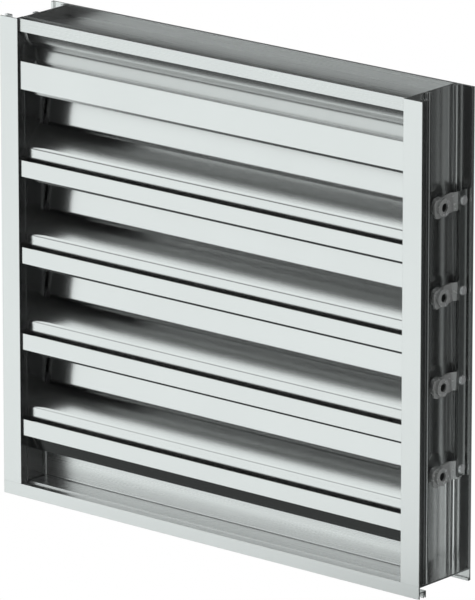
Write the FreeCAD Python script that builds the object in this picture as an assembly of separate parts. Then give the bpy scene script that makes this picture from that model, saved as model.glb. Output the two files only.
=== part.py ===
import FreeCAD, Part
import math
import os

os.makedirs("parts", exist_ok=True)

# Combination louver damper: fixed rain blades in front, four pivoted damper
# blades behind them, one channel frame round both and a crank linkage on the
# right jamb. Millimetres. X runs across the width, Y from front to back and Z
# up. The origin is the middle of the base. A section is drawn as (depth,
# height) points, with depth counted from the front face of the frame.

V = FreeCAD.Vector

# Frame
frame_width = 680.0
frame_height = 628.0
frame_wall = 2.0
jamb_flange = 29.0  # reach of a jamb's flanges, from its opening face
cross_flange = 16.6  # height of the sill, and of the head
face_setback = 3.0  # head and blade lips stand this far behind the jamb faces

# Hooked edge of the frame sections
hook_depth = 8.7
hook_wall = 1.5
hook_gap = 7.0  # clear width of the wide groove
fin_gap = 2.0  # clear width of the narrow groove
rear_bead = 2.6
rear_bead_reach = 3.0

# Drain groove and damper stop rib on a jamb's opening face
drain_width = 4.5
drain_past_gutter = 0.4
drain_depth = 0.9
drain_backing = 1.2
drain_lap = 0.4  # the backing runs this far past the groove
rib_thick = 2.0
rib_height = 2.0

# Screw bosses
boss_bore_gap = 0.4  # wider than the screw
boss_wall = 1.7
boss_slot = 2.0
boss_overlap = 0.4
boss_flange_gap = 1.0
head_boss_fin_gap = 4.0
screw_head_gap = 0.6  # between screw heads on a jamb's web, and to the jamb's front boss

# Fixed blades
fixed_count = 5
head_room = 38.4  # from the top blade's lip to the underside of the head
lowest_lip_top = 102.7
lip_height = 21.2
top_lip_height = 36.3
fixed_wall = 1.8
gutter_width = 7.8
gutter_floor = 16.0  # depth of the gutter below the lip's top
drip_reach = 7.0  # the drip leg below the lip's bottom
lowest_drip_reach = 20.4
drip_lean = 14.0  # degrees that the leg leans back below the gutter
blade_fold_rise = 15.4  # from the lip's top to the fold
slope_rib_gap = 1.5
slope_rise = 24.8
fold_radius = 6.0
top_slope_short = 8.0  # the top blade's slope is this much shorter
top_slope_rise = 11.7

# Damper blades, one behind each gap
pivot_behind_rib = 13.0
pivot_above_lip = 39.0
damper_half_thick = 8.0
damper_lap = 4.2  # height over which neighbours overlap when closed
pivot_below_middle = 3.5
damper_edge_thick = 3.2
damper_wall = 1.6
damper_end_gap = 3.0
nose_solid = 9.0

# Seals
seal_bulge = 1.6
seal_foot = 1.0
seal_height = 3.6
seal_inset = 1.0
seal_gap = 0.3

# Axles and bearings
axle_dia = 11.0
axle_grip = 60.0
running_gap = 0.05
bearing_wall = 3.0
bearing_rib_gap = 1.0
bearing_side_gap = 0.2

# Crank arms
crank_angle = 8.0
crank_radius = 30.0
crank_plate = 2.6
crank_width = 24.0
crank_heel = 15.5
crank_rounding = 0.28  # corner radius, as a share of the width
crank_hub_dia = 23.0
crank_hub_proud = 3.4
crank_standoff = 11.0  # from the jamb web's outer face to the crank plate
crank_jog = 5.6
crank_jog_run = 5.5
crank_jog_to_pin = 5.0
crank_pad_end = 8.0
crank_rear_gap = 3.6  # from a level crank's tip to the rear flange
axle_recess = 2.4
clamp_screw_dia = 3.4
clamp_head_dia = 4.6
clamp_head_height = 1.3
clamp_screw_radius = 8.3
clamp_screw_angles = (48.0, -86.0)

# Tie bar and its pins
bar_width = 14.0
bar_thick = 2.6
bar_top_tail = 13.0
bar_bottom_tail = 9.0
pin_dia = 6.4
pin_head_dia = 9.0
pin_head_height = 1.8
pin_tail_dia = 7.8
pin_tail_height = 1.2
washer_dia = 12.0
washer_thick = 0.7
linkage_gap = 0.3

# Folded sheets behind the fixed blades
sheet_wall = 1.6
sheet_bend = 2.4
sheet_side_gap = 0.2
sheet_foot_start = 13.5
upstand_behind_rib = 2.0
sill_ledge_drop = 9.5
baffle_flange = 20.0
baffle_gap = 1.2
baffle_setback = 12.0  # its front fold behind the head's front face
baffle_knee_run = 5.0
baffle_knee_drop = 13.6

# Screws
screw_dia = 3.8
screw_head_dia = 7.6
screw_head_height = 2.4
screw_grip = 16.0
screw_hole_gap = 0.3
blade_screw_spread = 11.0  # from the blades' rear screws, in line with the head's, to the others
top_screw_forward = 2.4

# Places that follow from the sizes above
opening_half = frame_width / 2 - jamb_flange
web_outer = opening_half + frame_wall
sill_top = cross_flange
head_bottom = frame_height - cross_flange
top_lip_extra = top_lip_height - lip_height
blade_pitch = (head_bottom - head_room - top_lip_extra - lowest_lip_top) / (fixed_count - 1)
lip_tops = [lowest_lip_top + blade_pitch * n for n in range(fixed_count)]
lip_tops[-1] += top_lip_extra
pivot_heights = [lowest_lip_top + pivot_above_lip + blade_pitch * n for n in range(fixed_count - 1)][::-1]
wall_front = face_setback + fixed_wall + gutter_width
drain_end = wall_front + drain_past_gutter
drain_start = drain_end - drain_width

# The frame's depth adds up from the front: hooks, head screws, stop rib, pivot, crank, rear flange
boss_bore = screw_dia + boss_bore_gap
boss_radius = boss_bore / 2 + boss_wall
head_fin_end = face_setback + frame_wall + hook_gap + fin_gap + 2 * hook_wall
head_boss_front = head_fin_end + head_boss_fin_gap + boss_radius
head_boss_rear = head_boss_front + screw_head_dia + screw_head_gap
jamb_boss_front = head_boss_rear + screw_head_dia / 2 + screw_head_gap + boss_radius
rib_start = jamb_boss_front + boss_radius - rib_thick
pivot_depth = rib_start + rib_thick + pivot_behind_rib
frame_depth = pivot_depth + crank_radius + crank_pad_end + crank_rear_gap + frame_wall
jamb_boss_rear = frame_depth - frame_wall - boss_flange_gap - boss_radius
slope_run = rib_start - slope_rib_gap - wall_front - fixed_wall / 2
top_slope_run = slope_run - top_slope_short
damper_lower_reach = (blade_pitch + damper_lap) / 2 - pivot_below_middle
damper_upper_reach = (blade_pitch + damper_lap) / 2 + pivot_below_middle
sill_upstand_depth = rib_start + rib_thick + upstand_behind_rib
damper_half = opening_half - damper_end_gap
liner_half = opening_half - rib_height - sheet_side_gap
crank_inner = web_outer + crank_standoff
pad_inner = crank_inner + crank_jog
bar_inner = pad_inner + crank_plate + linkage_gap
pin_reach = crank_radius * math.cos(math.radians(crank_angle))
pin_rise = crank_radius * math.sin(math.radians(crank_angle))


def at(depth):
    """Y of a point that lies this far behind the frame's front face."""
    return depth - frame_depth / 2


def slab(x0, x1, d0, d1, z0, z1):
    """Rectangular block between two widths, two depths and two heights."""
    return Part.makeBox(x1 - x0, d1 - d0, z1 - z0, V(x0, at(d0), z0))


def rod(dia, x0, x1, depth, height):
    """Round rod along X."""
    return Part.makeCylinder(dia / 2, x1 - x0, V(x0, at(depth), height), V(1, 0, 0))


def post(dia, z0, z1, x, depth):
    """Round rod along Z."""
    return Part.makeCylinder(dia / 2, z1 - z0, V(x, at(depth), z0), V(0, 0, 1))


def join(shapes):
    """One solid out of solids that share faces or overlap."""
    return shapes[0].multiFuse(shapes[1:]).removeSplitter()


def across(edges, x0, x1):
    """Solid with the closed outline edges as its section, from x0 to x1."""
    wire = Part.Wire(Part.__sortEdges__(edges))
    face = Part.Face(wire)
    face.translate(V(x0, 0, 0))
    return face.extrude(V(x1 - x0, 0, 0))


def point(depth, height):
    return V(0, at(depth), height)


def folded(path, wall, bend, x0, x1):
    """Folded strip: path is the middle line of its section and bend the middle radius of each fold."""
    pts = [point(*p) for p in path]
    runs = [(b - a).normalize() for a, b in zip(pts, pts[1:])]
    left, right = [], []

    def side(v):
        return V(0, -v.z, v.y) * (wall / 2)

    start = pts[0]
    for n, run in enumerate(runs):
        last = n == len(runs) - 1
        if last:
            end = pts[-1]
        else:
            after = runs[n + 1]
            turn = run.getAngle(after)
            end = pts[n + 1] - run * (bend * math.tan(turn / 2))
        left.append(Part.LineSegment(start + side(run), end + side(run)).toShape())
        right.append(Part.LineSegment(start - side(run), end - side(run)).toShape())
        if last:
            break
        resume = pts[n + 1] + after * (bend * math.tan(turn / 2))
        inward = (after - run).normalize()
        centre = pts[n + 1] + inward * (bend / math.cos(turn / 2))
        hand = 1 if side(run).dot(inward) > 0 else -1
        for edges, sign in ((left, 1), (right, -1)):
            a = end + side(run) * sign
            b = resume + side(after) * sign
            middle = centre - inward * (bend - sign * hand * wall / 2)
            edges.append(Part.Arc(a, middle, b).toShape())
        start = resume
    caps = [
        Part.LineSegment(pts[0] + side(runs[0]), pts[0] - side(runs[0])).toShape(),
        Part.LineSegment(pts[-1] + side(runs[-1]), pts[-1] - side(runs[-1])).toShape(),
    ]
    return across(left + right + caps, x0, x1)


def save(node, shape):
    shape.exportStep("parts/" + node + ".step")


def boss_along_z(x, depth, z0, z1):
    """Open screw boss of a jamb: a ring with its slot towards the outside of the frame."""
    outer = boss_bore + 2 * boss_wall
    ring = post(outer, z0, z1, x, depth).cut(post(boss_bore, z0, z1, x, depth))
    return ring.cut(slab(x, x + outer, depth - boss_slot / 2, depth + boss_slot / 2, z0, z1))


def boss_along_x(depth, height, x0, x1, towards):
    """Open screw boss of a blade or of the head, with its slot towards the (depth, height) direction."""
    outer = boss_bore + 2 * boss_wall
    ring = rod(outer, x0, x1, depth, height).cut(rod(boss_bore, x0, x1, depth, height))
    slot = Part.makeBox(x1 - x0, outer, boss_slot, V(x0, 0, -boss_slot / 2))
    slot.rotate(V(0, 0, 0), V(1, 0, 0), math.degrees(math.atan2(towards[1], towards[0])))
    slot.translate(V(0, at(depth), height))
    return ring.cut(slot)


# Screw places: on the jambs for the sill, on the cross pieces for the jambs
jamb_boss_x = web_outer + boss_radius - boss_overlap
jamb_boss_depths = (jamb_boss_front, jamb_boss_rear)
head_boss_depths = (head_boss_front, head_boss_rear)
head_boss_height = head_bottom + frame_wall + boss_radius - boss_overlap


def under_slope(fold_height, run, rise, depth):
    """Middle of a screw boss that hangs under a blade's slope at this depth."""
    length = math.hypot(run, rise)
    below = fixed_wall / 2 + boss_radius - boss_overlap
    share = (depth - wall_front - fixed_wall / 2 - below * rise / length) / run
    return depth, fold_height + rise * share - below * run / length


def blade_screw_places(n):
    """(depth, height) of the two screws at each end of fixed blade n, counted from the bottom."""
    lip_top = lip_tops[n]
    if n == fixed_count - 1:
        on_leg = (wall_front + fixed_wall + boss_radius - boss_overlap, lip_top - top_lip_height / 2)
        return [on_leg, under_slope(lip_top - fixed_wall / 2, top_slope_run, top_slope_rise,
                                    head_boss_rear - top_screw_forward)]
    fold = lip_top + blade_fold_rise
    return [under_slope(fold, slope_run, slope_rise, head_boss_rear - forward)
            for forward in (blade_screw_spread, 0)]


def jamb():
    """Right jamb: a channel open to the outside, with a hooked front edge, drain groove and stop rib."""
    low, high = sill_top, frame_height
    tip = frame_width / 2
    shelf = tip - hook_depth
    fin_one = frame_wall + hook_gap
    fin_two = fin_one + hook_wall + fin_gap
    rear = frame_depth - frame_wall
    pieces = [
        slab(opening_half, web_outer, 0, frame_depth, low, high),
        slab(opening_half, tip, 0, frame_wall, low, high),
        slab(opening_half, tip, rear, frame_depth, low, high),
        slab(tip - rear_bead_reach, tip, rear - rear_bead, rear, low, high),
        slab(shelf, shelf + hook_wall, 0, fin_two + hook_wall, low, high),
        slab(shelf, tip, fin_one, fin_one + hook_wall, low, high),
        slab(shelf, tip, fin_two, fin_two + hook_wall, low, high),
        slab(web_outer, web_outer + drain_backing, frame_wall, drain_end + drain_lap, low, high),
        slab(opening_half - rib_height, opening_half, rib_start, rib_start + rib_thick, low, head_bottom),
    ]
    for depth in jamb_boss_depths:
        pieces.append(boss_along_z(jamb_boss_x, depth, low, high))
    solid = join(pieces)
    groove = slab(opening_half - 1, opening_half + drain_depth, drain_start, drain_end, low - 1, high + 1)
    solid = solid.cut(groove)
    hole = axle_dia + 2 * bearing_wall + 2 * running_gap
    for height in pivot_heights:
        solid = solid.cut(rod(hole, opening_half - 1, web_outer + 1, pivot_depth, height))
    through = screw_dia + screw_hole_gap
    places = [p for n in range(fixed_count) for p in blade_screw_places(n)]
    places += [(depth, head_boss_height) for depth in head_boss_depths]
    for depth, height in places:
        solid = solid.cut(rod(through, opening_half - 1, web_outer + drain_backing + 1, depth, height))
    return solid


def mirrored(shape):
    return shape.mirror(V(0, 0, 0), V(1, 0, 0))


def cross_channel(half, front, web_low, flange_tip, up):
    """Channel across the frame with hooked flanges. up is 1 where they point up and -1 where they hang."""
    web_high = web_low + frame_wall
    root = web_low if up > 0 else web_high

    def band(d0, d1, z0, z1):
        return slab(-half, half, d0, d1, min(z0, z1), max(z0, z1))

    shelf = flange_tip - up * hook_depth
    fin_one = front + frame_wall + hook_gap
    fin_two = fin_one + hook_wall + fin_gap
    rear = frame_depth - frame_wall
    return join([
        band(front, frame_depth, web_low, web_high),
        band(front, front + frame_wall, root, flange_tip),
        band(rear, frame_depth, root, flange_tip),
        band(rear - rear_bead, rear, flange_tip - up * rear_bead_reach, flange_tip),
        band(front, fin_two + hook_wall, shelf, shelf + up * hook_wall),
        band(fin_one, fin_one + hook_wall, shelf, flange_tip),
        band(fin_two, fin_two + hook_wall, shelf, flange_tip),
    ])


def sill():
    solid = cross_channel(frame_width / 2, 0, sill_top - frame_wall, 0, -1)
    through = screw_dia + screw_hole_gap
    low, high = sill_top - frame_wall - 1, sill_top + 1
    for side in (-1, 1):
        for depth in jamb_boss_depths:
            solid = solid.cut(post(through, low, high, side * jamb_boss_x, depth))
    return solid


def head():
    solid = cross_channel(opening_half, face_setback, head_bottom, frame_height, 1)
    bosses = [boss_along_x(depth, head_boss_height, -opening_half, opening_half, (0, 1))
              for depth in head_boss_depths]
    return join([solid] + bosses)


def fixed_blade(n):
    """Drainable blade n, from the bottom: lip, gutter, drip leg and a slope up to the rear edge."""
    lip_top = lip_tops[n]
    top = n == fixed_count - 1
    height = top_lip_height if top else lip_height
    lip_bottom = lip_top - height
    drip = lowest_drip_reach if n == 0 else drip_reach
    wall_middle = wall_front + fixed_wall / 2
    lip_back = face_setback + fixed_wall
    floor = lip_bottom + lip_height - gutter_floor
    leg_bottom = lip_bottom - drip
    lean = (floor - leg_bottom) * math.tan(math.radians(drip_lean))
    leaning = [(wall_middle + lean, leg_bottom), (wall_middle, floor)]
    lip = slab(-opening_half, opening_half, face_setback, lip_back, lip_bottom, lip_top)
    if top:
        middle = lip_top - fixed_wall / 2
        path = [(face_setback + fixed_wall / 2, middle), (wall_middle, middle),
                (wall_middle + top_slope_run, middle + top_slope_rise)]
        slope = folded(path, fixed_wall, fixed_wall, -opening_half, opening_half)
        leg = folded(leaning + [(wall_middle, middle)], fixed_wall, fixed_wall, -opening_half, opening_half)
        body = [lip, slope, leg]
    else:
        fold = lip_top + blade_fold_rise
        path = leaning + [(wall_middle, fold), (wall_middle + slope_run, fold + slope_rise)]
        body = [lip, folded(path, fixed_wall, fold_radius, -opening_half, opening_half)]
    body.append(slab(-opening_half, opening_half, face_setback, wall_front + fixed_wall,
                     floor, floor + fixed_wall))
    for depth, level in blade_screw_places(n):
        away = (slope_rise, -slope_run)
        body.append(boss_along_x(depth, level, -opening_half, opening_half, away))
    return join(body)


# A blade's seal meets the rear of the blade above just inside its lower edge, where that face bulges
seal_middle = damper_upper_reach - seal_inset - seal_height / 2
seal_meets = blade_pitch - seal_middle - seal_height / 2
edge_bulge = damper_half_thick * (1 - (seal_meets / damper_lower_reach) ** 2)
seal_face = seal_gap + seal_bulge + edge_bulge


def damper_outline(inset, low, high, front_low, front_high, back_low, back_high):
    """Lens section about the pivot, as two arcs through the thickest place and two straight ends."""
    half = damper_half_thick - inset
    a = V(0, front_low, low)
    b = V(0, front_high, high)
    c = V(0, back_high, high)
    d = V(0, back_low, low)
    return [
        Part.Arc(a, V(0, -half, 0), b).toShape(),
        Part.LineSegment(b, c).toShape(),
        Part.Arc(c, V(0, half, 0), d).toShape(),
        Part.LineSegment(d, a).toShape(),
    ]


def damper_profile(inset):
    """Section of a damper blade about its pivot, or of its hollow when inset is the wall."""
    low, high = -damper_lower_reach, damper_upper_reach
    front_low, back_low = -damper_edge_thick, 0.0
    front_high = seal_face
    back_high = front_high + damper_edge_thick
    if inset == 0:
        return damper_outline(0, low, high, front_low, front_high, back_low, back_high)
    middle_low, middle_high = (front_low + back_low) / 2, (front_high + back_high) / 2
    slim = 0.4
    return damper_outline(inset, low + nose_solid, high - nose_solid,
                          middle_low - slim, middle_high - slim, middle_low + slim, middle_high + slim)


def seal_bar(front, middle, x0, x1):
    """Seal strip: a foot in its groove and a half-round bulge that faces forwards."""
    half = seal_height / 2
    low = V(0, front, middle - half)
    high = V(0, front, middle + half)
    foot = seal_foot
    edges = [
        Part.Arc(low, V(0, front - seal_bulge, middle), high).toShape(),
        Part.LineSegment(high, high + V(0, foot, 0)).toShape(),
        Part.LineSegment(high + V(0, foot, 0), low + V(0, foot, 0)).toShape(),
        Part.LineSegment(low + V(0, foot, 0), low).toShape(),
    ]
    return across(edges, x0, x1)


def damper_blade(height):
    """Hollow lens section with a bored centre, a seal groove in its upper nose and solid noses."""
    solid = across(damper_profile(0), -damper_half, damper_half)
    hollow = across(damper_profile(damper_wall), -damper_half - 1, damper_half + 1)
    start, length = V(-damper_half - 1, 0, 0), 2 * damper_half + 2
    tube = Part.makeCylinder(axle_dia / 2 + damper_wall, length, start, V(1, 0, 0))
    bore = Part.makeCylinder(axle_dia / 2 + running_gap, length, start, V(1, 0, 0))
    solid = solid.cut(hollow.cut(tube)).cut(bore)
    groove_low = seal_middle - seal_height / 2
    groove = Part.makeBox(length, seal_foot + damper_half_thick, seal_height,
                          V(-damper_half - 1, seal_face - damper_half_thick, groove_low))
    solid = solid.cut(groove)
    solid.translate(V(0, at(pivot_depth), height))
    return solid


def blade_seal(height):
    solid = seal_bar(seal_face, seal_middle, -damper_half, damper_half)
    solid.translate(V(0, at(pivot_depth), height))
    return solid


def bearing(height):
    """Right flanged bush: its flange fills the gap between jamb and blade end."""
    barrel = axle_dia + 2 * bearing_wall
    flange_dia = 2 * (pivot_behind_rib - bearing_rib_gap)
    flange = rod(flange_dia, damper_half + bearing_side_gap, opening_half, pivot_depth, height)
    body = rod(barrel, opening_half - 1, web_outer + frame_wall, pivot_depth, height)
    bore = rod(axle_dia + 2 * running_gap, damper_half - 1, web_outer + frame_wall + 1, pivot_depth, height)
    return flange.fuse(body).cut(bore)


hub_face = crank_inner + crank_plate + crank_hub_proud


def drive_axle(height):
    return rod(axle_dia, damper_half - axle_grip, hub_face - axle_recess, pivot_depth, height)


def idle_axle(height):
    return rod(axle_dia, -web_outer - 2 * frame_wall, -damper_half + axle_grip, pivot_depth, height)


def rounded_plate(low, high, width):
    """Block with rounded ends that trims a crank's plate, seen along X."""
    block = Part.makeBox(jamb_flange * 2, high - low, width, V(opening_half, low, -width / 2))
    ends = [e for e in block.Edges if e.BoundBox.XLength > jamb_flange]
    return block.makeFillet(width * crank_rounding, ends)


def crank_arm(height):
    """Cranked steel arm with a round clamp hub. It is drawn level and then tipped to its angle."""
    jog_end = crank_radius - crank_jog_to_pin
    path = [(-crank_heel, 0), (jog_end - crank_jog_run, 0), (jog_end, crank_jog),
            (crank_radius + crank_pad_end, crank_jog)]
    pts = [V(x, y, 0) for x, y in path]
    lift = V(0, crank_plate, 0)
    corners = pts + [p + lift for p in reversed(pts)]
    wire = Part.makePolygon(corners + corners[:1])
    plate = Part.Face(wire).extrude(V(0, 0, crank_width))
    # The drawing plane's x becomes depth and its y becomes X
    turn = FreeCAD.Matrix(0, 1, 0, 0, 1, 0, 0, 0, 0, 0, 1, 0, 0, 0, 0, 1)
    plate = plate.transformGeometry(turn)
    plate.translate(V(crank_inner, 0, -crank_width / 2))
    plate = plate.common(rounded_plate(-crank_heel, crank_radius + crank_pad_end, crank_width))
    hub = Part.makeCylinder(crank_hub_dia / 2, hub_face - web_outer - 2 * frame_wall - linkage_gap,
                            V(web_outer + 2 * frame_wall + linkage_gap, 0, 0), V(1, 0, 0))
    solid = plate.fuse(hub).removeSplitter()
    bore = Part.makeCylinder(axle_dia / 2 + running_gap, jamb_flange * 2, V(opening_half, 0, 0), V(1, 0, 0))
    eye = Part.makeCylinder(pin_dia / 2 + running_gap, jamb_flange, V(opening_half, crank_radius, 0),
                            V(1, 0, 0))
    solid = solid.cut(bore).cut(eye)
    for angle in clamp_screw_angles:
        spot = clamp_spot(angle)
        solid = solid.cut(Part.makeCylinder(clamp_screw_dia / 2 + running_gap, jamb_flange * 2,
                                            V(opening_half, spot[0], spot[1]), V(1, 0, 0)))
    return place_crank(solid, height)


def clamp_spot(angle):
    turn = math.radians(angle)
    return clamp_screw_radius * math.cos(turn), clamp_screw_radius * math.sin(turn)


def place_crank(solid, height):
    solid.rotate(V(0, 0, 0), V(1, 0, 0), crank_angle)
    solid.translate(V(0, at(pivot_depth), height))
    return solid


def crank_screws(height):
    """The two screws that close the hub on its axle."""
    screws = []
    for angle in clamp_screw_angles:
        depth, level = clamp_spot(angle)
        low = web_outer + 2 * frame_wall + linkage_gap
        shank = Part.makeCylinder(clamp_screw_dia / 2, hub_face - low, V(low, depth, level), V(1, 0, 0))
        cap = Part.makeCylinder(clamp_head_dia / 2, clamp_head_height, V(hub_face, depth, level), V(1, 0, 0))
        screws.append(shank.fuse(cap).removeSplitter())
    return place_crank(Part.makeCompound(screws), height)


def tie_bar():
    depth = pivot_depth + pin_reach
    low = pivot_heights[-1] + pin_rise - bar_bottom_tail
    high = pivot_heights[0] + pin_rise + bar_top_tail
    solid = slab(bar_inner, bar_inner + bar_thick, depth - bar_width / 2, depth + bar_width / 2, low, high)
    for height in pivot_heights:
        solid = solid.cut(rod(pin_dia + 2 * running_gap, bar_inner - 1, bar_inner + bar_thick + 1,
                              depth, height + pin_rise))
    return solid


def tie_pin(height):
    """Headed pin: it is fast in the bar and turns in the crank's eye."""
    depth, level = pivot_depth + pin_reach, height + pin_rise
    outer = bar_inner + bar_thick + washer_thick
    inner = pad_inner - linkage_gap
    shank = rod(pin_dia, inner, outer, depth, level)
    cap = rod(pin_head_dia, outer, outer + pin_head_height, depth, level)
    tail = rod(pin_tail_dia, inner - pin_tail_height, inner, depth, level)
    return join([shank, cap, tail])


def tie_washers():
    depth = pivot_depth + pin_reach
    rings = []
    for height in pivot_heights:
        low = bar_inner + bar_thick
        ring = rod(washer_dia, low, low + washer_thick, depth, height + pin_rise)
        rings.append(ring.cut(rod(pin_dia + 2 * running_gap, low - 1, low + 2, depth, height + pin_rise)))
    return Part.makeCompound(rings)


def head_baffle():
    """Folded sheet under the head: it slopes to the top blade and hangs in front of the top damper blade."""
    top = head_bottom - sheet_wall / 2
    slope_end = (wall_front + fixed_wall / 2 + top_slope_run - baffle_gap,
                 lip_tops[-1] + top_slope_rise + baffle_gap)
    front = face_setback + baffle_setback
    knee = (front + baffle_knee_run, top - baffle_knee_drop)
    leg = pivot_depth - sheet_wall / 2
    leg_bottom = pivot_heights[0] + seal_middle - seal_height / 2
    path = [(front + baffle_flange, top), (front, top), knee, slope_end,
            (leg, slope_end[1]), (leg, leg_bottom)]
    return folded(path, sheet_wall, sheet_bend, -liner_half, liner_half)


def sill_stop_leg():
    """Depth of the sill stop's top leg and the middle height of its seal."""
    return pivot_depth + seal_face + sheet_wall / 2, pivot_heights[-1] - blade_pitch + seal_middle


def sill_stop():
    """Folded sheet on the sill: a floor, an upstand and a step up behind the lowest damper blade."""
    leg, seal_level = sill_stop_leg()
    foot = sill_top + sheet_wall / 2
    ledge = pivot_heights[-1] - damper_lower_reach - sill_ledge_drop
    path = [(sheet_foot_start, foot), (sill_upstand_depth, foot), (sill_upstand_depth, ledge),
            (leg, ledge), (leg, seal_level + seal_height / 2 + seal_inset)]
    return folded(path, sheet_wall, sheet_bend, -liner_half, liner_half)


def sill_seal():
    leg, seal_level = sill_stop_leg()
    low = seal_level - seal_height / 2
    face = leg - sheet_wall / 2
    bulge = Part.Arc(point(face, low), point(face - seal_bulge, seal_level), point(face, low + seal_height))
    back = Part.LineSegment(point(face, low + seal_height), point(face, low))
    return across([bulge.toShape(), back.toShape()], -liner_half, liner_half)


def screw_along_x(depth, height, seat):
    """Pan-head screw through the right jamb's web, pointing into the opening."""
    shank = rod(screw_dia, seat - screw_grip, seat, depth, height)
    cap = rod(screw_head_dia, seat, seat + screw_head_height, depth, height)
    return shank.fuse(cap).removeSplitter()


def blade_screws():
    """All the screws of the right jamb that hold the fixed blades."""
    places = [p for n in range(fixed_count) for p in blade_screw_places(n)]
    return Part.makeCompound([screw_along_x(d, z, web_outer) for d, z in places])


def head_screws():
    right = [screw_along_x(depth, head_boss_height, web_outer) for depth in head_boss_depths]
    return Part.makeCompound(right + [mirrored(s) for s in right])


def sill_screws():
    """Screws up through the sill into the jambs' bosses."""
    seat = sill_top - frame_wall
    screws = []
    for side in (-1, 1):
        for depth in jamb_boss_depths:
            shank = post(screw_dia, seat, seat + screw_grip, side * jamb_boss_x, depth)
            cap = post(screw_head_dia, seat - screw_head_height, seat, side * jamb_boss_x, depth)
            screws.append(shank.fuse(cap).removeSplitter())
    return Part.makeCompound(screws)


right_jamb = jamb()
save("jamb_right", right_jamb)
save("jamb_left", mirrored(right_jamb))
save("sill", sill())
save("head", head())
save("head_baffle", head_baffle())
save("sill_stop", sill_stop())
save("sill_seal", sill_seal())
for n in range(fixed_count):
    save(f"fixed_blade_{fixed_count - n}", fixed_blade(n))
right_screws = blade_screws()
save("blade_screws_right", right_screws)
save("blade_screws_left", mirrored(right_screws))
save("head_screws", head_screws())
save("sill_screws", sill_screws())
for n, height in enumerate(pivot_heights, 1):
    save(f"damper_blade_{n}", damper_blade(height))
    save(f"blade_seal_{n}", blade_seal(height))
    save(f"drive_axle_{n}", drive_axle(height))
    save(f"idle_axle_{n}", idle_axle(height))
    right_bearing = bearing(height)
    save(f"bearing_right_{n}", right_bearing)
    save(f"bearing_left_{n}", mirrored(right_bearing))
    save(f"crank_arm_{n}", crank_arm(height))
    save(f"crank_screws_{n}", crank_screws(height))
    save(f"tie_pin_{n}", tie_pin(height))
save("tie_bar", tie_bar())
save("tie_washers", tie_washers())
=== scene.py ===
import math

import bpy
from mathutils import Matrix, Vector

# Combination louver damper, dressed for the picture: mill aluminium sections and blades,
# steel cranks and tie bar, plastic bushes and rubber seals. Metres, as in the frame.

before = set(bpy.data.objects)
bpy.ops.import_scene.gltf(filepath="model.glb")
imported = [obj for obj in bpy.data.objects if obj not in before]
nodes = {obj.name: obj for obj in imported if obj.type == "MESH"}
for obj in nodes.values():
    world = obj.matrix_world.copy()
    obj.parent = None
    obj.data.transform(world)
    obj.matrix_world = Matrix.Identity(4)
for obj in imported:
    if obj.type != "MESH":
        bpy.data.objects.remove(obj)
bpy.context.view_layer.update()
print("frame loaded:", len(nodes), "nodes")

noiseSpan = (0.3, 0.7)  # most values of a noise texture lie between these
bevelSamples = 6
white = (1, 1, 1)


def newMaterial(name):
    material = bpy.data.materials.new(name)
    material.use_nodes = True
    tree = material.node_tree
    return material, tree, tree.nodes["Principled BSDF"]


def objectPattern(tree, scale, detail, stretch=(1, 1, 1)):
    # noise on Object coordinates, drawn out along an axis where stretch is under 1
    place = tree.nodes.new("ShaderNodeTexCoord")
    mapping = tree.nodes.new("ShaderNodeMapping")
    mapping.inputs["Scale"].default_value = stretch
    noise = tree.nodes.new("ShaderNodeTexNoise")
    noise.inputs["Scale"].default_value = scale
    noise.inputs["Detail"].default_value = detail
    tree.links.new(place.outputs["Object"], mapping.inputs["Vector"])
    tree.links.new(mapping.outputs["Vector"], noise.inputs["Vector"])
    return noise.outputs["Fac"]


def spread(tree, value, low, high):
    # a noise value turned into a number between low and high
    span = tree.nodes.new("ShaderNodeMapRange")
    span.inputs["From Min"].default_value, span.inputs["From Max"].default_value = noiseSpan
    span.inputs["To Min"].default_value = low
    span.inputs["To Max"].default_value = high
    tree.links.new(value, span.inputs["Value"])
    return span.outputs["Result"]


def tint(tree, value, low, high):
    # a noise value turned into a colour between low and high
    ramp = tree.nodes.new("ShaderNodeValToRGB")
    for element, position, colour in zip(ramp.color_ramp.elements, noiseSpan, (low, high)):
        element.position = position
        element.color = (*colour, 1)
    tree.links.new(value, ramp.inputs["Fac"])
    return ramp.outputs["Color"]


def relief(tree, bsdf, value, look):
    # fine relief, on edges that are broken to a small radius
    rounded = tree.nodes.new("ShaderNodeBevel")
    rounded.samples = bevelSamples
    rounded.inputs["Radius"].default_value = look["edge"]
    bump = tree.nodes.new("ShaderNodeBump")
    bump.inputs["Distance"].default_value = look["depth"]
    bump.inputs["Strength"].default_value = look["strength"]
    tree.links.new(rounded.outputs["Normal"], bump.inputs["Normal"])
    tree.links.new(value, bump.inputs["Height"])
    tree.links.new(bump.outputs["Normal"], bsdf.inputs["Normal"])


def dressMetal(tree, bsdf, look, clouds, grain):
    # colour from the clouds, roughness and relief from the grain
    bsdf.inputs["Metallic"].default_value = look["metallic"]
    tree.links.new(tint(tree, clouds, look["dark"], look["light"]), bsdf.inputs["Base Color"])
    tree.links.new(spread(tree, grain, look["smooth"], look["dull"]), bsdf.inputs["Roughness"])
    relief(tree, bsdf, grain, look)


# Mill aluminium: the die leaves fine lines along the section
aluminium = {
    "dark": (0.83, 0.832, 0.83),
    "light": (0.85, 0.852, 0.85),
    "smooth": 0.20,
    "dull": 0.225,
    "metallic": 1,
    "lineScale": 900.0,
    "lineDetail": 2,
    "lineStretch": 0.004,  # the lines are 250 times longer than wide
    "cloudScale": 9.0,
    "cloudDetail": 3,
    "depth": 0.00001,
    "strength": 0.02,
    "edge": 0.0003,
}

# Blades and jambs come out of the die a little smoother, the head and the sill's sheet are duller
foldedBlade = {**aluminium, "smooth": 0.16, "dull": 0.172}
bladeSkin = {**aluminium, "smooth": 0.15, "dull": 0.16}
upright = {**aluminium, "smooth": 0.19, "dull": 0.20}
dullSheet = {**aluminium, "smooth": 0.27, "dull": 0.285}


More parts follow.
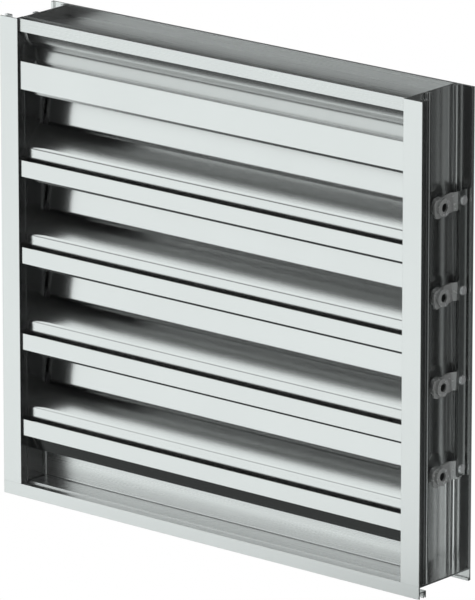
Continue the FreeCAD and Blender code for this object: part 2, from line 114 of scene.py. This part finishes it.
def millAluminium(name, along, look):
    # extruded aluminium whose die lines run along X or Z
    material, tree, bsdf = newMaterial(name)
    stretch = (look["lineStretch"], 1, 1) if along == "x" else (1, 1, look["lineStretch"])
    lines = objectPattern(tree, look["lineScale"], look["lineDetail"], stretch)
    clouds = objectPattern(tree, look["cloudScale"], look["cloudDetail"])
    dressMetal(tree, bsdf, look, clouds, lines)
    return material


# Zinc plate on the idle axles, and the steels of the linkage and the screws
zinc = {
    "dark": (0.80, 0.81, 0.81),
    "light": (0.92, 0.93, 0.92),
    "smooth": 0.17,
    "dull": 0.26,
    "metallic": 0.82,
    "grainScale": 260.0,
    "grainDetail": 4,
    "depth": 0.00003,
    "strength": 0.12,
    "edge": 0.0005,
}

screwSteel = {
    **zinc,
    "dark": (0.82, 0.83, 0.84),
    "light": (0.93, 0.94, 0.94),
    "smooth": 0.12,
    "dull": 0.20,
    "metallic": 0.8,
    "grainScale": 500.0,
    "edge": 0.0008,
}

crankSteel = {
    **zinc,
    "dark": (0.43, 0.44, 0.44),
    "light": (0.48, 0.49, 0.48),
    "smooth": 0.24,
    "dull": 0.28,
    "metallic": 0.6,
    "edge": 0.0003,
}

# Tie bar: plated steel, its colour darkened to 0.38–0.48 as painted shade for the dark reflections it
# shows
barSteel = {**zinc, "dark": (0.38, 0.39, 0.39), "light": (0.48, 0.49, 0.48), "metallic": 1}
# Drive axles: steel painted near black, 0.05–0.08, as painted shade for the dark reflections they show
axleSteel = {**zinc, "dark": (0.05, 0.05, 0.05), "light": (0.08, 0.08, 0.08), "metallic": 1}


def platedSteel(name, look):
    material, tree, bsdf = newMaterial(name)
    grain = objectPattern(tree, look["grainScale"], look["grainDetail"])
    dressMetal(tree, bsdf, look, grain, grain)
    return material


# Bushes and seals
bush = {
    "colour": (0.035, 0.035, 0.038),
    "worn": (0.06, 0.06, 0.062),
    "roughness": 0.42,
    "grainScale": 700.0,
    "grainDetail": 3,
    "depth": 0.00004,
    "strength": 0.4,
    "edge": 0.0003,
}

rubber = {
    **bush,
    "colour": (0.016, 0.016, 0.017),
    "worn": (0.04, 0.04, 0.04),
    "roughness": 0.68,
    "grainScale": 400.0,
}


def mouldedPiece(name, look):
    # plastic or rubber: a dark colour with a fine moulded grain
    material, tree, bsdf = newMaterial(name)
    grain = objectPattern(tree, look["grainScale"], look["grainDetail"])
    tree.links.new(tint(tree, grain, look["colour"], look["worn"]), bsdf.inputs["Base Color"])
    bsdf.inputs["Roughness"].default_value = look["roughness"]
    relief(tree, bsdf, grain, look)
    return material


finishes = {
    "uprightSection": millAluminium("uprightSection", "z", upright),
    "crossSection": millAluminium("crossSection", "x", aluminium),
    "dullSheet": millAluminium("dullSheet", "x", dullSheet),
    "bladeSkin": millAluminium("bladeSkin", "x", bladeSkin),
    "foldedBlade": millAluminium("foldedBlade", "x", foldedBlade),
    "zincPlate": platedSteel("zincPlate", zinc),
    "screwSteel": platedSteel("screwSteel", screwSteel),
    "barSteel": platedSteel("barSteel", barSteel),
    "crankSteel": platedSteel("crankSteel", crankSteel),
    "axleSteel": platedSteel("axleSteel", axleSteel),
    "bushPlastic": mouldedPiece("bushPlastic", bush),
    "sealRubber": mouldedPiece("sealRubber", rubber),
}

# How the names of the nodes with each finish start. The longest start that fits a name counts
finishStarts = {
    "uprightSection": ["jamb"],
    "crossSection": ["sill", "head_baffle"],
    "dullSheet": ["head", "sill_stop"],
    "bladeSkin": ["damper_blade"],
    "foldedBlade": ["fixed_blade"],
    "zincPlate": ["idle_axle"],
    "screwSteel": ["sill_screws", "head_screws", "blade_screws", "crank_screws", "tie_pin", "tie_washers"],
    "barSteel": ["tie_bar"],
    "crankSteel": ["crank_arm"],
    "axleSteel": ["drive_axle"],
    "bushPlastic": ["bearing"],
    "sealRubber": ["sill_seal", "blade_seal"],
}
finishOf = {start: finish for finish, starts in finishStarts.items() for start in starts}

for name, piece in nodes.items():
    start = max((s for s in finishOf if name.startswith(s)), key=len)
    piece.data.materials.clear()
    piece.data.materials.append(finishes[finishOf[start]])
print("finishes on the nodes:", len(finishes))

# What the metal mirrors: soft patches in a dark room. A patch has its direction, the cosine of
# its half angle at the rim and where it is full, and its brightness
surroundings = {
    "room": (0.005, 0.0055, 0.0055),
    "tone": (0.868, 0.922, 0.913),
    "patches": {
        "overhead": ((-0.62, -0.185, 0.763), 0.70, 0.86, 1.0),
        "frontLow": ((-0.55, -0.60, -0.55), 0.60, 0.85, 0.045),
        "rearLeft": ((-0.619, 0.735, 0.276), 0.72, 0.95, 0.06),
        "rearRight": ((0.619, 0.735, -0.276), 0.80, 0.99, 0.05),
        "rear": ((-0.25, 0.93, -0.27), 0.80, 0.95, 0.7),
        "right": ((0.98, -0.05, 0.20), 0.82, 0.96, 0.45),
        "left": ((-0.98, -0.05, 0.20), 0.82, 0.96, 0.45),
        "front": ((0.0, -1.0, 0.02), 0.90, 0.985, 0.52),
        "overCard": ((-0.618, -0.72, 0.31), 0.982, 0.996, 0.40),
    },
    "softLight": 0.75,
}


def patch(tree, direction, towards, rim, full, level):
    # brightness of one patch: a smooth step on the cosine between the ray and the patch's middle
    along = tree.nodes.new("ShaderNodeVectorMath")
    along.operation = "DOT_PRODUCT"
    along.inputs[1].default_value = Vector(towards).normalized()
    tree.links.new(direction, along.inputs[0])
    edge = tree.nodes.new("ShaderNodeMapRange")
    edge.interpolation_type = "SMOOTHSTEP"
    edge.inputs["From Min"].default_value = rim
    edge.inputs["From Max"].default_value = full
    edge.inputs["To Max"].default_value = level
    tree.links.new(along.outputs["Value"], edge.inputs["Value"])
    return edge.outputs["Result"]


def brighter(tree, one, other):
    larger = tree.nodes.new("ShaderNodeMath")
    larger.operation = "MAXIMUM"
    tree.links.new(one, larger.inputs[0])
    tree.links.new(other, larger.inputs[1])
    return larger.outputs[0]


def background(tree, strength=1.0):
    shader = tree.nodes.new("ShaderNodeBackground")
    shader.inputs["Color"].default_value = (*white, 1)
    shader.inputs["Strength"].default_value = strength
    return shader


def choose(tree, share, first, second):
    # the first shader where share is 0, the second where it is 1
    mix = tree.nodes.new("ShaderNodeMixShader")
    tree.links.new(share, mix.inputs[0])
    tree.links.new(first, mix.inputs[1])
    tree.links.new(second, mix.inputs[2])
    return mix.outputs[0]


def makeWorld(look=surroundings):
    world = bpy.data.worlds.new("studio")
    bpy.context.scene.world = world
    world.use_nodes = True
    tree = world.node_tree
    tree.nodes.clear()
    direction = tree.nodes.new("ShaderNodeTexCoord").outputs["Generated"]
    total = None
    for towards, rim, full, level in look["patches"].values():
        one = patch(tree, direction, towards, rim, full, level)
        total = one if total is None else brighter(tree, total, one)
    mirrored = tree.nodes.new("ShaderNodeMix")
    mirrored.data_type = "RGBA"
    mirrored.inputs["A"].default_value = (*look["room"], 1)
    mirrored.inputs["B"].default_value = (*look["tone"], 1)
    tree.links.new(total, mirrored.inputs["Factor"])
    metalSees = background(tree)
    tree.links.new(mirrored.outputs["Result"], metalSees.inputs["Color"])
    soft = background(tree, look["softLight"])
    backdrop = background(tree)
    rays = tree.nodes.new("ShaderNodeLightPath")
    lighting = choose(tree, rays.outputs["Is Glossy Ray"], soft.outputs[0], metalSees.outputs[0])
    seen = choose(tree, rays.outputs["Is Camera Ray"], lighting, backdrop.outputs[0])
    out = tree.nodes.new("ShaderNodeOutputWorld")
    tree.links.new(seen, out.inputs[0])


makeWorld()
print("surroundings:", len(surroundings["patches"]), "patches")


def flatPiece(name, corners, material):
    mesh = bpy.data.meshes.new(name)
    mesh.from_pydata([tuple(c) for c in corners], [], [(0, 1, 2, 3)])
    mesh.materials.append(material)
    piece = bpy.data.objects.new(name, mesh)
    bpy.context.scene.collection.objects.link(piece)
    return piece


def addCard(name, corners, material):
    # a card that only the metal sees
    card = flatPiece(name, corners, material)
    card.visible_camera = False
    card.visible_diffuse = False
    card.visible_shadow = False


def cardAxes(towards):
    # the card's outward direction, level, and the direction along its width
    out = Vector((*towards, 0)).normalized()
    return out, Vector((0, 0, 1)).cross(out)


def glowing(tree, colour, strength=1.0):
    glow = tree.nodes.new("ShaderNodeEmission")
    glow.inputs["Color"].default_value = (*colour, 1)
    glow.inputs["Strength"].default_value = strength
    return glow


def steppedGlow(tree, value, steps):
    # emission that follows value through the steps: a brightness at each place from 0 to 1
    ramp = tree.nodes.new("ShaderNodeValToRGB")
    while len(ramp.color_ramp.elements) < len(steps):
        ramp.color_ramp.elements.new(0.5)
    for element, (at, level) in zip(ramp.color_ramp.elements, steps.items()):
        element.position = at
        element.color = (*(level * c for c in surroundings["tone"]), 1)
    glow = tree.nodes.new("ShaderNodeEmission")
    tree.links.new(value, ramp.inputs["Fac"])
    tree.links.new(ramp.outputs["Color"], glow.inputs["Color"])
    return glow


def placeOnPiece(tree, axis):
    place = tree.nodes.new("ShaderNodeTexCoord")
    split = tree.nodes.new("ShaderNodeSeparateXYZ")
    tree.links.new(place.outputs["Object"], split.inputs[0])
    return split.outputs[axis]


def setSurface(tree, shader):
    tree.links.new(shader, tree.nodes["Material Output"].inputs["Surface"])


# Evenly bright cards: a wide one on the front left, and one behind the object on the right
cards = {
    "frontCard": {
        "towards": (-0.644, -0.765),
        "away": 2.2,
        "aside": 0.0,
        "half": 1.5,
        "low": -0.85,
        "high": 0.60,
        "level": 1.0,
    },
    "rearCard": {
        "towards": (0.644, 0.765),
        "away": 0.6,
        "aside": 0.125,
        "half": 0.225,
        "low": -0.25,
        "high": 0.55,
        "level": 0.26,
    },
}


def makeCard(name, look):
    out, side = cardAxes(look["towards"])
    middle = out * look["away"] + side * look["aside"]
    low, high = look["low"], look["high"]
    corners = [middle + side * (look["half"] * end) + Vector((0, 0, z))
               for end, z in ((-1, low), (1, low), (1, high), (-1, high))]
    material, tree, _ = newMaterial(name)
    setSurface(tree, glowing(tree, surroundings["tone"], look["level"]).outputs[0])
    addCard(name, corners, material)


for name, look in cards.items():
    makeCard(name, look)

# A faint glow on the floor behind the right jamb, which the jamb's web mirrors: its steps run
# from the object outwards
floorGlow = {
    "near": 0.36,
    "far": 3.2,
    "front": 0.05,
    "back": 3.4,
    "height": 0.001,
    "fade": 1.6,  # the steps are spread over this length
    "steps": {0.0: 0.16, 0.10: 0.13, 0.30: 0.08, 0.6: 0.06, 0.9: 0.06},
}


def makeFloorGlow(look=floorGlow):
    near, far, front, back = look["near"], look["far"], look["front"], look["back"]
    corners = [(x, y, look["height"]) for x, y in ((near, front), (far, front), (far, back), (near, back))]
    material, tree, _ = newMaterial("floorGlow")
    share = tree.nodes.new("ShaderNodeMapRange")
    share.inputs["From Min"].default_value = near
    share.inputs["From Max"].default_value = near + look["fade"]
    tree.links.new(placeOnPiece(tree, "X"), share.inputs["Value"])
    setSurface(tree, steppedGlow(tree, share.outputs["Result"], look["steps"]).outputs[0])
    addCard("floorGlow", corners, material)


makeFloorGlow()

# A narrow reflector beside the right jamb, bright on the side that the channel sees. It stands just
# beyond the camera's line past the channel's rear corner. Its steps run up its height
bounceCard = {
    "corner": (0.313, 0.0488),
    "towards": (0.644, -0.765),
    "away": 0.08,
    "aside": 0.009,
    "wide": 0.09,
    "high": 0.63,
    "steps": {0.0: 0.84, 0.16: 0.80, 0.26: 0.56, 0.5: 0.42, 0.95: 0.29},
}


def makeBounceCard(look=bounceCard):
    out, side = cardAxes(look["towards"])
    near = Vector((*look["corner"], 0)) + out * look["away"] + side * look["aside"]
    far = near + side * look["wide"]
    top = Vector((0, 0, look["high"]))
    material, tree, _ = newMaterial("bounceCard")
    steps = {at * look["high"]: level for at, level in look["steps"].items()}
    bright = steppedGlow(tree, placeOnPiece(tree, "Z"), steps)
    dark = glowing(tree, surroundings["room"])
    facing = tree.nodes.new("ShaderNodeNewGeometry")
    setSurface(tree, choose(tree, facing.outputs["Backfacing"], dark.outputs[0], bright.outputs[0]))
    addCard("bounceCard", (near, far, far + top, near + top), material)


makeBounceCard()
print("cards that the metal mirrors")

# Floor: white to the camera, and it isn't mirrored in the metal
floorLook = {"size": 14.0, "colour": (0.86, 0.86, 0.86), "roughness": 0.9}


def makeFloor(look=floorLook):
    half = look["size"] / 2
    material, tree, bsdf = newMaterial("floorWhite")
    bsdf.inputs["Base Color"].default_value = (*look["colour"], 1)
    bsdf.inputs["Roughness"].default_value = look["roughness"]
    rays = tree.nodes.new("ShaderNodeLightPath")
    glow = glowing(tree, white)
    setSurface(tree, choose(tree, rays.outputs["Is Camera Ray"], bsdf.outputs[0], glow.outputs[0]))
    corners = [(-half, -half, 0), (half, -half, 0), (half, half, 0), (-half, half, 0)]
    floor = flatPiece("floor", corners, material)
    floor.visible_glossy = False


makeFloor()

lamp = {"size": 2.4, "power": 60.0, "place": (-1.8, -2.6, 2.4), "aim": (0, 0, 0.3)}


def makeLamp(look=lamp):
    # one large soft lamp, high on the front left
    data = bpy.data.lights.new("softLamp", "AREA")
    data.shape = "SQUARE"
    data.size = look["size"]
    data.energy = look["power"]
    softLamp = bpy.data.objects.new("softLamp", data)
    softLamp.location = look["place"]
    towards = Vector(look["aim"]) - softLamp.location
    softLamp.rotation_euler = towards.to_track_quat("-Z", "Y").to_euler()
    bpy.context.scene.collection.objects.link(softLamp)
    softLamp.visible_glossy = False


makeLamp()

# Camera: a long lens from the front right, a little above
view = {
    "azimuth": 40.11,
    "elevation": 16.04,
    "aim": (0.0, 0.0172, 0.34),
    "distance": 9.071,
    "focal": 7284,  # in pixels of the picture
    "pictureHeight": 600,
    "aside": 4.3,  # pixels from the picture's middle to the aim, to the right and up
    "up": 28.1,
    "sensor": 36,
    "clip": (0.5, 60),
}


def makeCamera(look=view):
    a, e = math.radians(look["azimuth"]), math.radians(look["elevation"])
    back = Vector((math.sin(a) * math.cos(e), -math.cos(a) * math.cos(e), math.sin(e)))
    right = (-back).cross(Vector((0, 0, 1))).normalized()
    up = right.cross(-back)
    camera = bpy.data.objects.new("camera", bpy.data.cameras.new("camera"))
    bpy.context.scene.collection.objects.link(camera)
    far = look["distance"]
    shift = right * (look["aside"] / look["focal"]) + up * (look["up"] / look["focal"])
    camera.location = Vector(look["aim"]) + back * far - shift * far
    camera.rotation_euler = (-back).to_track_quat("-Z", "Y").to_euler()
    camera.data.lens = look["focal"] / look["pictureHeight"] * look["sensor"]
    camera.data.sensor_width = look["sensor"]
    camera.data.clip_start, camera.data.clip_end = look["clip"]
    bpy.context.scene.camera = camera


makeCamera()
bpy.context.scene.view_settings.view_transform = "Standard"
print("floor, lamp and camera")
